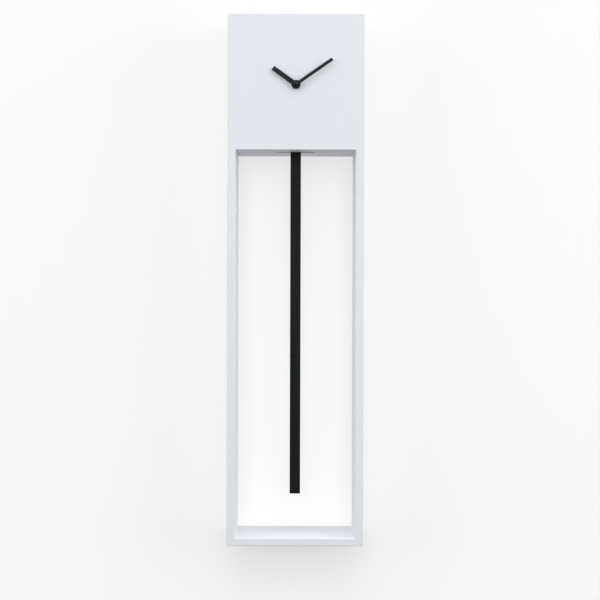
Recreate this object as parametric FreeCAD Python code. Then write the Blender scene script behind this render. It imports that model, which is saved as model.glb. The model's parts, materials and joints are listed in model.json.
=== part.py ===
import FreeCAD, Part
import os
from math import acos, cos, pi, radians, sin, tan

# Pendulum wall clock, millimetres.
# The origin is the centre of the keyhole's entry hole, on the plane of the wall.
# +Z is up, +Y points into the wall, and the dial faces -Y.

Vector = FreeCAD.Vector

# ---- case ----------------------------------------------------------------------
CASE_WIDTH = 180.0
CASE_HEIGHT = 700.0
CASE_DEPTH = 90.0
SIDE_THICKNESS = 11.0
TOP_THICKNESS = 11.0
BASE_THICKNESS = 10.0
SHELF_THICKNESS = 10.0
DIAL_THICKNESS = 8.0
HEAD_HEIGHT = 179.4
EDGE_RADIUS = 0.8

HANGER_BELOW_TOP = 31.0
TOP = HANGER_BELOW_TOP
BOTTOM = TOP - CASE_HEIGHT
FRONT = -CASE_DEPTH
BACK = 0.0
OUTER_X = CASE_WIDTH / 2
INNER_X = OUTER_X - SIDE_THICKNESS
CEILING = TOP - HEAD_HEIGHT
SHELF_TOP = CEILING + SHELF_THICKNESS
BASE_TOP = BOTTOM + BASE_THICKNESS
DIAL_BACK = FRONT + DIAL_THICKNESS

DOWEL_RADIUS = 3.0
DOWEL_IN_SIDE = 8.0
DOWEL_IN_PANEL = 16.0
DOWEL_FRONT_Y = -62.0
DOWEL_BACK_Y = -24.0

SLOT_HALF_LENGTH = 25.5
SLOT_FRONT = FRONT + 29.0
SLOT_BACK = SLOT_FRONT + 12.0

# ---- hanger --------------------------------------------------------------------
RAIL_HEIGHT = 34.0
RAIL_DEPTH = 12.0
RAIL_TOP = TOP - TOP_THICKNESS
PLATE_THICKNESS = 1.5
PLATE_HALF_LENGTH = 25.0
PLATE_LOW = -9.0
PLATE_HIGH = 17.0
PLATE_CORNER = 3.0
KEYHOLE_ENTRY_RADIUS = 4.5
KEYHOLE_SLOT_RADIUS = 2.2
KEYHOLE_RISE = 9.0
KEYHOLE_POCKET_RADIUS = 6.5
KEYHOLE_POCKET_DEPTH = 10.5
HANGER_SCREW_X = 18.5
HANGER_SCREW_Z = 4.0
HANGER_SCREW_LENGTH = 11.0
HANGER_SCREW_RADIUS = 1.75
HANGER_SCREW_HEAD_RADIUS = 3.5

# ---- movement: places ----------------------------------------------------------
SHAFT_BELOW_TOP = 94.0
SHAFT_Z = TOP - SHAFT_BELOW_TOP
WASHER_THICKNESS = 1.0
HOUSING_FRONT = DIAL_BACK + WASHER_THICKNESS
HOUSING_WALL = 1.4
HOUSING_INSIDE = HOUSING_FRONT + HOUSING_WALL
COVER_INSIDE = HOUSING_FRONT + 15.6
COVER_OUTSIDE = COVER_INSIDE + 1.4
HOUSING_HALF_WIDTH = 28.0
HOUSING_RISE = 45.0
HOUSING_DROP = 64.0
HOUSING_CORNER = 4.0
BAY_FLOOR_RISE = 26.0
BAY_FLOOR_THICKNESS = 1.0

# ---- movement: gears (teeth, module) -------------------------------------------
PRESSURE_ANGLE = radians(20.0)
ADDENDUM = 0.85
DEDENDUM = 1.2
WHEEL_TOOTH_SHARE = 0.86
LEAF_SHARE = 0.80
LEAF_ROOT_SHARE = 0.80

CENTRE_PINION_TEETH = 12
MINUTE_WHEEL_TEETH = 36
SETTING_PINION_TEETH = 12
MINUTE_MODULE = 0.40
MINUTE_PINION_TEETH = 10
HOUR_WHEEL_TEETH = 40
MOTION_DISTANCE = MINUTE_MODULE * (CENTRE_PINION_TEETH + MINUTE_WHEEL_TEETH) / 2
HOUR_MODULE = 2 * MOTION_DISTANCE / (MINUTE_PINION_TEETH + HOUR_WHEEL_TEETH)

LEAVES = 8
THIRD_WHEEL_TEETH = 60
CENTRE_WHEEL_TEETH = 64
SECONDS_WHEEL_TEETH = 40
INTERMEDIATE_WHEEL_TEETH = 48
THIRD_MODULE = 0.34
THIRD_DISTANCE = THIRD_MODULE * (LEAVES + THIRD_WHEEL_TEETH) / 2
CENTRE_MODULE = 2 * THIRD_DISTANCE / (LEAVES + CENTRE_WHEEL_TEETH)
SECONDS_MODULE = 0.49
INTERMEDIATE_DISTANCE = SECONDS_MODULE * (LEAVES + SECONDS_WHEEL_TEETH) / 2
INTERMEDIATE_MODULE = 0.32
ROTOR_DISTANCE = INTERMEDIATE_MODULE * (LEAVES + INTERMEDIATE_WHEEL_TEETH) / 2

# Directions between arbors, seen from the front, anticlockwise from +X.
MINUTE_WHEEL_DIRECTION = 0.0
SETTING_DIRECTION = radians(-35.0)
THIRD_DIRECTION = radians(215.0)
INTERMEDIATE_DIRECTION = radians(120.0)
ROTOR_DIRECTION = radians(40.0)

PIVOT_RADIUS = 0.35
PIVOT_HOLE_RADIUS = 0.38
ARBOR_RADIUS = 0.6
RUNNING_CLEARANCE = 0.05
PLATE_FRONT_Y = -76.4
PLATE_BACK_Y = -75.6
PLATE_HALF_LEFT = 16.0
PLATE_RIGHT = 15.0
PLATE_DROP = 12.0
PLATE_RISE = 20.0
POST_RADIUS = 1.5
POST_INSET = 1.8
BLIND_HOLE_DEPTH = 0.7
STUD_RADIUS = 0.8
SETTING_ARBOR_RADIUS = 0.8
SETTING_PIVOT_RADIUS = 0.5

# ---- hands ---------------------------------------------------------------------
MINUTE_HAND_LENGTH = 58.3
MINUTE_HAND_WIDTH = 4.2
MINUTE_HAND_ANGLE = 55.1
HOUR_HAND_LENGTH = 37.3
HOUR_HAND_WIDTH = 6.2
HOUR_HAND_ANGLE = -54.5
BUSH_RADIUS = 4.0
BUSH_FRONT = -92.5
BUSH_BORE_RADIUS = 2.6
WASHER_FRONT = FRONT - 0.35
HOUR_TUBE_RADIUS = 2.55
HOUR_TUBE_FRONT = -94.1
HOUR_HAND_FRONT = -93.9
HOUR_BLADE_BACK = -93.3
HOUR_BOSS_BACK = -92.9
HOUR_BOSS_RADIUS = 5.9
MINUTE_HAND_FRONT = -95.6
MINUTE_BLADE_BACK = -95.1
MINUTE_BOSS_RADIUS = 4.0
MINUTE_ARBOR_RADIUS = 1.70
MINUTE_JOURNAL_RADIUS = 1.5
MINUTE_TAIL_RADIUS = 1.2
MINUTE_SHOULDER = -94.8
STUB_RADIUS = 1.25
STUB_FRONT = -97.6
CAP_RADIUS = 3.0
CAP_RIM = 0.8
CAP_DOME = 1.9
HAND_CHAMFER = 0.15

# ---- pendulum ------------------------------------------------------------------
PIVOT_BELOW_SHAFT = 24.0
PENDULUM_PIVOT_Z = SHAFT_Z - PIVOT_BELOW_SHAFT
PIVOT_PIN_RADIUS = 0.8
ARM_FRONT = -63.2
ARM_BACK = -61.0
ARM_HALF_WIDTH = 3.0
HOOK_HALF_WIDTH = 2.5
HOOK_SEAT_Z = PENDULUM_PIVOT_Z - 35.5
HOOK_THICKNESS = 2.5
MAGNET_BELOW_PIVOT = 24.0
MAGNET_RADIUS = 4.0
MAGNET_Z = PENDULUM_PIVOT_Z - MAGNET_BELOW_PIVOT
SWING_LIMIT = radians(6.0)
STOP_BELOW_PIVOT = 33.0
STOP_RADIUS = 1.2
STOP_CLEARANCE = 0.1
BAR_WIDTH = 14.0
BAR_THICKNESS = 3.0
BAR_MIDDLE_Y = FRONT + 35.0
BAR_TOP = HOOK_SEAT_Z - 5.5
BAR_BOTTOM = BOTTOM + 63.6
TAB_THICKNESS = 0.8
TAB_HALF_WIDTH = 6.0
RIVET_RADIUS = 1.25
RIVET_HEAD_RADIUS = 2.4


# ---- basic shapes --------------------------------------------------------------
def box(x0, x1, y0, y1, z0, z1):
    """Block between two corners."""
    return Part.makeBox(x1 - x0, y1 - y0, z1 - z0, Vector(x0, y0, z0))


def rod(radius, y0, y1, x=0.0, z=0.0):
    """Round rod along Y."""
    return Part.makeCylinder(radius, y1 - y0, Vector(x, y0, z), Vector(0, 1, 0))


def ring(outer, inner, y0, y1, x=0.0, z=0.0):
    """Round tube or washer along Y."""
    return rod(outer, y0, y1, x, z).cut(rod(inner, y0, y1, x, z))


def slot_block(radius, y0, y1, x, z0, z1):
    """Upright slot shape with round ends centred at z0 and z1."""
    middle = box(x - radius, x + radius, y0, y1, z0, z1)
    return join(middle, rod(radius, y0, y1, x, z0), rod(radius, y0, y1, x, z1))


def rounded_block(x0, x1, y0, y1, z0, z1, radius):
    """Block whose four edges along Y are rounded."""
    block = box(x0, x1, y0, y1, z0, z1)
    corners = [edge for edge in block.Edges if abs(edge.BoundBox.YLength - (y1 - y0)) < 1e-6]
    return block.makeFillet(radius, corners)


def join(*shapes):
    """One solid from touching or overlapping shapes."""
    return shapes[0].multiFuse(list(shapes[1:])).removeSplitter()


def turned(shape, angle, x=0.0, z=0.0):
    """Turn a shape about Y through (x, z), clockwise as the front shows it."""
    copy = shape.copy()
    copy.rotate(Vector(x, 0, z), Vector(0, 1, 0), angle)
    return copy


def save(name, *solids):
    """Write one node, as one solid or a group of separate solids."""
    shape = solids[0] if len(solids) == 1 else Part.makeCompound(list(solids))
    shape.exportStep("parts/" + name + ".step")


# ---- gears ---------------------------------------------------------------------
def involute(angle):
    return tan(angle) - angle


def tooth_points(teeth, module, is_pinion):
    """Half of a tooth as (radius, half angle) from its root to its tip."""
    pitch = module * teeth / 2
    base = pitch * cos(PRESSURE_ANGLE)
    tip = pitch + ADDENDUM * module
    root = pitch - DEDENDUM * module
    share = LEAF_SHARE if is_pinion else WHEEL_TOOTH_SHARE
    half_at_pitch = pi / (2 * teeth) * share

    def half_angle(radius):
        return half_at_pitch + involute(PRESSURE_ANGLE) - involute(acos(base / radius))

    start = max(base, root)
    flank = [(radius, half_angle(radius)) for radius in (start, (start + tip) / 2, tip)]
    if root < base:
        flank.insert(0, (root, half_angle(base) * LEAF_ROOT_SHARE))
    return flank


def gear(teeth, module, y0, y1, x=0.0, z=0.0, phase=0.0, is_pinion=False):
    """Spur gear along Y with the middle of one tooth at the phase angle."""
    half = tooth_points(teeth, module, is_pinion)

    def place(radius, angle):
        return Vector(x + radius * cos(angle), y0, z + radius * sin(angle))

    edges = []
    last_root = place(half[0][0], phase - 2 * pi / teeth + half[0][1])
    for number in range(teeth):
        middle = phase + 2 * pi * number / teeth
        rising = [place(radius, middle - angle) for radius, angle in half]
        falling = [place(radius, middle + angle) for radius, angle in reversed(half)]
        edges.append(Part.makeLine(last_root, rising[0]))
        if len(half) == 4:
            edges.append(Part.makeLine(rising[0], rising[1]))
        edges.append(Part.Arc(*rising[-3:]).toShape())
        edges.append(Part.makeLine(rising[-1], falling[0]))
        edges.append(Part.Arc(*falling[:3]).toShape())
        if len(half) == 4:
            edges.append(Part.makeLine(falling[2], falling[3]))
        last_root = falling[-1]
    outline = Part.Face(Part.Wire(edges))
    return outline.extrude(Vector(0, y1 - y0, 0))


def pinion(teeth, module, y0, y1, x=0.0, z=0.0, phase=0.0):
    return gear(teeth, module, y0, y1, x, z, phase, is_pinion=True)


def meshing_phase(direction, teeth):
    """Phase of a gear whose gap faces back along the direction that leads to it."""
    return direction + pi + pi / teeth


def arbor_at(distance, direction, from_x=0.0, from_z=SHAFT_Z):
    return from_x + distance * cos(direction), from_z + distance * sin(direction)


MINUTE_WHEEL_X, MINUTE_WHEEL_Z = arbor_at(MOTION_DISTANCE, MINUTE_WHEEL_DIRECTION)
SETTING_X, SETTING_Z = arbor_at(MOTION_DISTANCE, SETTING_DIRECTION, MINUTE_WHEEL_X, MINUTE_WHEEL_Z)
THIRD_X, THIRD_Z = arbor_at(THIRD_DISTANCE, THIRD_DIRECTION)
INTERMEDIATE_X, INTERMEDIATE_Z = arbor_at(INTERMEDIATE_DISTANCE, INTERMEDIATE_DIRECTION)
ROTOR_X, ROTOR_Z = arbor_at(ROTOR_DISTANCE, ROTOR_DIRECTION, INTERMEDIATE_X, INTERMEDIATE_Z)

# Layers along Y: each wheel, and the pinion that it turns with.
HOUR_WHEEL_Y = (-79.1, -78.2)
MINUTE_PINION_Y = (-79.2, -77.8)
MINUTE_WHEEL_Y = (-77.8, -76.9)
CENTRE_PINION_Y = (-77.9, -76.6)
SETTING_PINION_Y = (-77.9, -76.7)
CENTRE_WHEEL_Y = (-75.2, -74.4)
THIRD_PINION_Y = (-75.3, -74.2)
THIRD_WHEEL_Y = (-73.7, -72.9)
SECONDS_PINION_Y = (-74.0, -72.7)
SECONDS_WHEEL_Y = (-72.3, -71.5)
INTERMEDIATE_PINION_Y = (-72.5, -71.3)
INTERMEDIATE_WHEEL_Y = (-70.9, -70.1)
ROTOR_PINION_Y = (-71.1, -69.9)
BEARING_BOSS_Y = COVER_INSIDE - 1.0
BEARING_HOLE_Y = COVER_INSIDE - 0.1
JOURNAL_BACK = PLATE_BACK_Y + 0.2
MINUTE_ARBOR_REAR = -74.1
ROTOR_MAGNET_Y = (-75.1, -72.6)
ROTOR_MAGNET_RADIUS = 2.8
STATOR_Y = (-74.2, -73.4)
BOARD_Y = (-71.6, -70.8)


def train_arbor(x, z, front=PLATE_BACK_Y + 0.2, has_front_pivot=True):
    """Steel arbor with a thin pivot at each end."""
    rear = BEARING_BOSS_Y - 0.2
    pieces = [rod(ARBOR_RADIUS, front, rear, x, z)]
    pieces.append(rod(PIVOT_RADIUS, rear, BEARING_HOLE_Y - 0.2, x, z))
    if has_front_pivot:
        pieces.append(rod(PIVOT_RADIUS, PLATE_FRONT_Y + 0.1, front, x, z))
    return pieces


# ---- case panels ---------------------------------------------------------------
def whole_case():
    """The joined case with its exposed edges rounded, before it is parted into panels."""
    case = box(-OUTER_X, OUTER_X, FRONT, BACK, BOTTOM, TOP)
    case = case.cut(box(-INNER_X, INNER_X, FRONT, BACK, BASE_TOP, CEILING))
    case = case.cut(box(-INNER_X, INNER_X, DIAL_BACK, BACK, SHELF_TOP, TOP - TOP_THICKNESS))

    def is_exposed(edge):
        bounds = edge.BoundBox
        on_face = bounds.YLength < 1e-6
        at_side = abs(abs(bounds.XMax) - OUTER_X) < 1e-6 and bounds.XLength < 1e-6
        on_cavity_front = on_face and abs(bounds.YMax - DIAL_BACK) < 1e-6
        along_corner = at_side and bounds.ZLength < 1e-6
        return (on_face and not on_cavity_front) or along_corner

    return case.makeFillet(EDGE_RADIUS, [edge for edge in case.Edges if is_exposed(edge)])


def dowels(z):
    """Four dowels that pin a panel's ends to both sides."""
    length = DOWEL_IN_SIDE + DOWEL_IN_PANEL
    pieces = []
    for y in (DOWEL_FRONT_Y, DOWEL_BACK_Y):
        for start in (-INNER_X - DOWEL_IN_SIDE, INNER_X - DOWEL_IN_PANEL):
            pieces.append(Part.makeCylinder(DOWEL_RADIUS, length, Vector(start, y, z), Vector(1, 0, 0)))
    return pieces


def make_case():
    case = whole_case()
    top_z = TOP - TOP_THICKNESS / 2
    shelf_z = CEILING + SHELF_THICKNESS / 2
    base_z = BOTTOM + BASE_THICKNESS / 2
    all_dowels = dowels(top_z) + dowels(shelf_z) + dowels(base_z)
    bores = Part.makeCompound(all_dowels)
    save("panel_dowels", *all_dowels)

    def panel(x0, x1, y0, z0, z1):
        return case.common(box(x0, x1, y0, BACK, z0, z1)).cut(bores)

    save("left_side", panel(-OUTER_X, -INNER_X, FRONT, BOTTOM, TOP))
    save("right_side", panel(INNER_X, OUTER_X, FRONT, BOTTOM, TOP))
    save("base_panel", panel(-INNER_X, INNER_X, FRONT, BOTTOM, BASE_TOP))
    save("top_panel", panel(-INNER_X, INNER_X, DIAL_BACK, TOP - TOP_THICKNESS, TOP))
    shelf = panel(-INNER_X, INNER_X, DIAL_BACK, CEILING, SHELF_TOP)
    slot = box(-SLOT_HALF_LENGTH, SLOT_HALF_LENGTH, SLOT_FRONT, SLOT_BACK, CEILING, SHELF_TOP)
    save("pendulum_shelf", shelf.cut(slot))
    dial = case.common(box(-INNER_X, INNER_X, FRONT, DIAL_BACK, CEILING, TOP))
    shaft_hole = rod(BUSH_RADIUS + 0.2, FRONT, DIAL_BACK, 0, SHAFT_Z)
    save("dial_panel", dial.cut(shaft_hole))


# ---- hanger --------------------------------------------------------------------
def hanger_screw(x):
    """Countersunk wood screw, head flush with the plate, with a cross recess."""
    z = HANGER_SCREW_Z
    head = HANGER_SCREW_HEAD_RADIUS
    shank = HANGER_SCREW_RADIUS
    tip_length = 3.0
    tip_radius = 0.2
    shank_end = BACK - HANGER_SCREW_LENGTH + tip_length
    along = Vector(0, -1, 0)
    countersink = Part.makeCone(head, shank, head - shank, Vector(x, BACK, z), along)
    body = rod(shank, shank_end, BACK - head + shank, x, z)
    point = Part.makeCone(shank, tip_radius, tip_length, Vector(x, shank_end, z), along)
    screw = join(countersink, body, point)
    recess_half = 2.1
    recess_side = 0.45
    recess_depth = 1.1
    flat_arm = box(x - recess_half, x + recess_half, -recess_depth, 0, z - recess_side, z + recess_side)
    tall_arm = box(x - recess_side, x + recess_side, -recess_depth, 0, z - recess_half, z + recess_half)
    return screw, screw.cut(flat_arm).cut(tall_arm)


def make_hanger():
    rail_low = RAIL_TOP - RAIL_HEIGHT
    rail = box(-INNER_X, INNER_X, BACK - RAIL_DEPTH, BACK, rail_low, RAIL_TOP)
    plate = rounded_block(-PLATE_HALF_LENGTH, PLATE_HALF_LENGTH, BACK - PLATE_THICKNESS, BACK,
                          PLATE_LOW, PLATE_HIGH, PLATE_CORNER)
    rail = rail.cut(plate)
    rail = rail.cut(slot_block(KEYHOLE_POCKET_RADIUS, BACK - KEYHOLE_POCKET_DEPTH, BACK, 0, 0, KEYHOLE_RISE))
    plate = plate.cut(rod(KEYHOLE_ENTRY_RADIUS, BACK - PLATE_THICKNESS, BACK))
    plate = plate.cut(slot_block(KEYHOLE_SLOT_RADIUS, BACK - PLATE_THICKNESS, BACK, 0, 0, KEYHOLE_RISE))
    screws = []
    for x in (-HANGER_SCREW_X, HANGER_SCREW_X):
        solid_screw, screw = hanger_screw(x)
        rail = rail.cut(solid_screw)
        plate = plate.cut(solid_screw)
        screws.append(screw)
    save("hanging_rail", rail)
    save("hanger_plate", plate)
    save("hanger_screws", *screws)


# ---- movement housing ----------------------------------------------------------
COVER_SCREW_PLACES = [(-24.0, 21.6), (24.0, -17.6), (-24.0, -59.6), (24.0, -59.6)]
COVER_SCREW_RADIUS = 1.1
COVER_SCREW_DEPTH = 7.0
COVER_SCREW_HEAD_RADIUS = 2.2
COVER_SCREW_HEAD = 1.2
SCREW_BOSS_RADIUS = 2.5
DRIVE_POST_RADIUS = 1.45
DRIVE_COIL_FRONT = -70.6
DRIVE_COIL_BACK = -66.2
DRIVE_FLANGE_RADIUS = 8.6
DRIVE_WINDING_RADIUS = 7.8
DRIVE_CORE_RADIUS = 2.6
COIL_FLANGE = 0.6
BEARING_BOSS_RADIUS = 1.5
PIVOT_BOSS_RADIUS = 2.6
PIVOT_BOSS_HEIGHT = 0.4
PIN_SEAT = COVER_INSIDE + 0.2
BATTERY_RISE = 35.0
BATTERY_Y = -72.2
BATTERY_RADIUS = 7.1
COIL_X = 22.0


def middle_plate_posts():
    left = -PLATE_HALF_LEFT + POST_INSET
    right = PLATE_RIGHT - POST_INSET
    low = SHAFT_Z - PLATE_DROP + POST_INSET
    high = SHAFT_Z + PLATE_RISE - POST_INSET
    return [(left, low), (right, low), (left, high), (right, high)]


def make_housing():
    half = HOUSING_HALF_WIDTH
    low = SHAFT_Z - HOUSING_DROP
    high = SHAFT_Z + HOUSING_RISE
    wall = HOUSING_WALL
    shell = rounded_block(-half, half, HOUSING_FRONT, COVER_INSIDE, low, high, HOUSING_CORNER)
    inner_corner = HOUSING_CORNER - wall
    room = rounded_block(-half + wall, half - wall, HOUSING_INSIDE, COVER_INSIDE,
                         low + wall, high - wall, inner_corner)
    shell = shell.cut(room)
    bay_floor = SHAFT_Z + BAY_FLOOR_RISE
    additions = [box(-half + wall, half - wall, HOUSING_INSIDE, COVER_INSIDE,
                     bay_floor, bay_floor + BAY_FLOOR_THICKNESS)]
    for x, z in COVER_SCREW_PLACES:
        boss = rod(SCREW_BOSS_RADIUS, HOUSING_INSIDE, COVER_INSIDE, x, SHAFT_Z + z)
        additions.append(boss)
    for x, z in middle_plate_posts():
        additions.append(rod(POST_RADIUS, HOUSING_INSIDE, PLATE_FRONT_Y, x, z))
    additions.append(rod(DRIVE_POST_RADIUS, HOUSING_INSIDE, DRIVE_COIL_BACK - 0.2, 0, MAGNET_Z))
    shell = join(shell, *additions)
    for x, z in COVER_SCREW_PLACES:
        shell = shell.cut(rod(COVER_SCREW_RADIUS, COVER_INSIDE - COVER_SCREW_DEPTH, COVER_INSIDE,
                              x, SHAFT_Z + z))
    shell = shell.cut(rod(BUSH_RADIUS, HOUSING_FRONT, HOUSING_INSIDE, 0, SHAFT_Z))
    blind_front = HOUSING_INSIDE - BLIND_HOLE_DEPTH
    shell = shell.cut(rod(STUD_RADIUS, blind_front, HOUSING_INSIDE, MINUTE_WHEEL_X, MINUTE_WHEEL_Z))
    setting_bearing = SETTING_PIVOT_RADIUS + RUNNING_CLEARANCE
    shell = shell.cut(rod(setting_bearing, blind_front, HOUSING_INSIDE, SETTING_X, SETTING_Z))
    save("movement_housing", shell)


def cover_screw(x, z):
    """Small pan head screw with a cross recess."""
    end = COVER_INSIDE - COVER_SCREW_DEPTH + 0.5
    crown = COVER_OUTSIDE + COVER_SCREW_HEAD
    recess_floor = crown - 0.8
    recess_half = 1.3
    recess_side = 0.3
    head = rod(COVER_SCREW_HEAD_RADIUS, COVER_OUTSIDE, crown, x, z)
    head = head.makeFillet(0.6, [edge for edge in head.Edges if edge.BoundBox.YMin > COVER_OUTSIDE + 0.5])
    screw = join(rod(COVER_SCREW_RADIUS, end, COVER_OUTSIDE, x, z), head)
    flat_arm = box(x - recess_half, x + recess_half, recess_floor, crown, z - recess_side, z + recess_side)
    tall_arm = box(x - recess_side, x + recess_side, recess_floor, crown, z - recess_half, z + recess_half)
    return screw.cut(flat_arm).cut(tall_arm)


def make_back_cover():
    half = HOUSING_HALF_WIDTH
    low = SHAFT_Z - HOUSING_DROP
    top = SHAFT_Z + BAY_FLOOR_RISE + BAY_FLOOR_THICKNESS
    cover = box(-half, half, COVER_INSIDE, COVER_OUTSIDE, low, top)
    lower_corners = [edge for edge in cover.Edges
                     if edge.BoundBox.YLength > 1.0 and edge.BoundBox.ZMax < low + 1.0]
    cover = cover.makeFillet(HOUSING_CORNER, lower_corners)
    bearings = [(THIRD_X, THIRD_Z), (0.0, SHAFT_Z), (INTERMEDIATE_X, INTERMEDIATE_Z), (ROTOR_X, ROTOR_Z)]
    additions = [rod(BEARING_BOSS_RADIUS, BEARING_BOSS_Y, COVER_INSIDE, x, z) for x, z in bearings]
    pivot_boss_back = COVER_OUTSIDE + PIVOT_BOSS_HEIGHT
    additions.append(rod(PIVOT_BOSS_RADIUS, COVER_OUTSIDE, pivot_boss_back, 0, PENDULUM_PIVOT_Z))
    edge_of_arm = STOP_BELOW_PIVOT * tan(SWING_LIMIT) + ARM_HALF_WIDTH / cos(SWING_LIMIT)
    stop_x = edge_of_arm + STOP_CLEARANCE + STOP_RADIUS
    for x in (-stop_x, stop_x):
        additions.append(rod(STOP_RADIUS, COVER_OUTSIDE, ARM_BACK, x, PENDULUM_PIVOT_Z - STOP_BELOW_PIVOT))
    cover = join(cover, *additions)
    for x, z in bearings:
        cover = cover.cut(rod(PIVOT_HOLE_RADIUS, BEARING_BOSS_Y, BEARING_HOLE_Y, x, z))
    setting_hole = rod(SETTING_ARBOR_RADIUS + RUNNING_CLEARANCE, COVER_INSIDE, COVER_OUTSIDE,
                       SETTING_X, SETTING_Z)
    pin_hole = rod(PIVOT_PIN_RADIUS, PIN_SEAT, pivot_boss_back, 0, PENDULUM_PIVOT_Z)
    cover = cover.cut(setting_hole).cut(pin_hole)
    screws = []
    for x, above_shaft in COVER_SCREW_PLACES:
        z = SHAFT_Z + above_shaft
        cover = cover.cut(rod(COVER_SCREW_RADIUS, COVER_INSIDE, COVER_OUTSIDE, x, z))
        screws.append(cover_screw(x, z))
    save("back_cover", cover)
    save("cover_screws", *screws)


def make_middle_plate():
    plate = rounded_block(-PLATE_HALF_LEFT, PLATE_RIGHT, PLATE_FRONT_Y, PLATE_BACK_Y,
                          SHAFT_Z - PLATE_DROP, SHAFT_Z + PLATE_RISE, 2.0)
    journal_hole = rod(MINUTE_JOURNAL_RADIUS + RUNNING_CLEARANCE, PLATE_FRONT_Y, PLATE_BACK_Y, 0, SHAFT_Z)
    plate = plate.cut(journal_hole)
    for x, z in ((THIRD_X, THIRD_Z), (INTERMEDIATE_X, INTERMEDIATE_Z), (ROTOR_X, ROTOR_Z)):
        plate = plate.cut(rod(PIVOT_HOLE_RADIUS, PLATE_FRONT_Y, PLATE_BACK_Y, x, z))
    stud_back = PLATE_FRONT_Y + 0.4
    stud = rod(STUD_RADIUS, HOUSING_INSIDE - BLIND_HOLE_DEPTH, stud_back, MINUTE_WHEEL_X, MINUTE_WHEEL_Z)
    save("middle_plate", plate.cut(stud))
    save("minute_wheel_stud", stud)


# ---- movement fixing -----------------------------------------------------------
def make_fixing():
    bush = ring(BUSH_RADIUS, BUSH_BORE_RADIUS, BUSH_FRONT, HOUSING_INSIDE, 0, SHAFT_Z)
    save("threaded_bush", bush)
    save("rubber_washer", ring(11.0, BUSH_RADIUS + 0.2, DIAL_BACK, HOUSING_FRONT, 0, SHAFT_Z))
    save("fixing_washer", ring(5.1, BUSH_RADIUS + 0.1, WASHER_FRONT, FRONT, 0, SHAFT_Z))
    nut_front = BUSH_FRONT + 0.3
    nut_radius = 5.0
    nut = ring(nut_radius, BUSH_RADIUS, nut_front, WASHER_FRONT, 0, SHAFT_Z)
    notch_depth = 0.8
    notch_half = 0.6
    notch = box(-nut_radius, nut_radius, nut_front, nut_front + notch_depth,
                SHAFT_Z - notch_half, SHAFT_Z + notch_half)
    notch = notch.cut(rod(BUSH_RADIUS, nut_front, WASHER_FRONT, 0, SHAFT_Z))
    save("fixing_nut", nut.cut(notch))


# ---- hands and motion work -----------------------------------------------------
def hand(length, width, boss_radius, front, blade_back, boss_back, bore, angle):
    """Straight hand with a square end and a round boss."""
    def front_chamfered(solid):
        front_edges = [edge for edge in solid.Edges if edge.BoundBox.YMax < front + 1e-6]
        return solid.makeChamfer(HAND_CHAMFER, front_edges)

    blade = front_chamfered(box(-width / 2, width / 2, front, blade_back, SHAFT_Z, SHAFT_Z + length))
    boss = front_chamfered(rod(boss_radius, front, boss_back, 0, SHAFT_Z))
    shape = join(blade, boss).cut(rod(bore, front, boss_back, 0, SHAFT_Z))
    return turned(shape, angle, 0, SHAFT_Z)


def cap_nut():
    """Small domed nut that closes the front of the minute arbor."""
    radius = CAP_RADIUS
    rim = MINUTE_HAND_FRONT - CAP_RIM
    crown = rim - CAP_DOME
    sphere_radius = (radius ** 2 + CAP_DOME ** 2) / (2 * CAP_DOME)
    sphere = Part.makeSphere(sphere_radius, Vector(0, crown + sphere_radius, SHAFT_Z))
    dome = sphere.common(box(-radius, radius, crown, rim, SHAFT_Z - radius, SHAFT_Z + radius))
    body = join(dome, rod(radius, rim, MINUTE_HAND_FRONT, 0, SHAFT_Z))
    return body.cut(rod(STUB_RADIUS, STUB_FRONT - 0.1, MINUTE_HAND_FRONT, 0, SHAFT_Z))


def make_hands():
    save("hour_hand", hand(HOUR_HAND_LENGTH, HOUR_HAND_WIDTH, HOUR_BOSS_RADIUS, HOUR_HAND_FRONT,
                           HOUR_BLADE_BACK, HOUR_BOSS_BACK, HOUR_TUBE_RADIUS, HOUR_HAND_ANGLE))
    save("minute_hand", hand(MINUTE_HAND_LENGTH, MINUTE_HAND_WIDTH, MINUTE_BOSS_RADIUS, MINUTE_HAND_FRONT,
                             MINUTE_BLADE_BACK, MINUTE_SHOULDER, STUB_RADIUS, MINUTE_HAND_ANGLE))
    save("cap_nut", cap_nut())


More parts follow.
